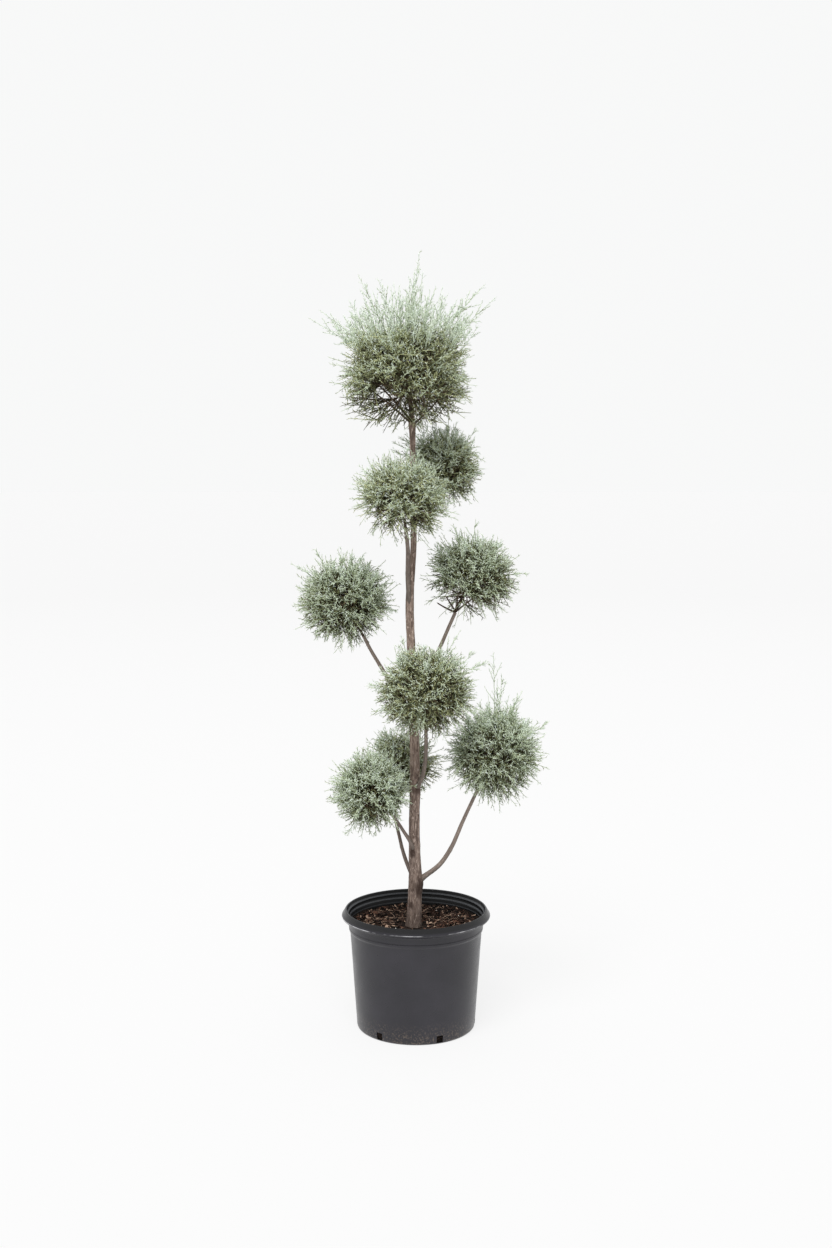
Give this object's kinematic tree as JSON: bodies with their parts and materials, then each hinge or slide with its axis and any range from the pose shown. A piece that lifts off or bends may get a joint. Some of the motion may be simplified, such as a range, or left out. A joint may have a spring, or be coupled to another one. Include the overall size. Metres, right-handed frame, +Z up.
{
  "type": "potted pompon cypress topiary",
  "caption": "Slender cypress with clipped pompon balls of fine foliage up its leaning trunk, standing in a round black nursery pot filled with bark mix.",
  "frame": {"origin": "centre of the pot's flat underside", "axes": "+Z up along the pot's axis, -Y towards the viewer of the picture, +X to the right in it"},
  "size_m": [0.613, 0.4039, 1.837],
  "materials": {
    "pot": "satin",
    "soil": "rough",
    "bark": "rough",
    "foliage": "matte"
  },
  "bodies": {
    "root": {"pot": "pot", "soil": "soil", "trunk": "bark", "bough_low_right": "bark", "bough_low_back": "bark", "bough_low_left": "bark", "bough_mid_front": "bark", "bough_mid_left": "bark", "bough_mid_right": "bark", "bough_upper_front": "bark", "bough_upper_back": "bark", "crown": "foliage", "ball_upper_back": "foliage", "ball_upper_front": "foliage", "ball_mid_left": "foliage", "ball_mid_right": "foliage", "ball_mid_front": "foliage", "ball_low_left": "foliage", "ball_low_back": "foliage", "ball_low_right": "foliage"}
  },
  "joints": []
}
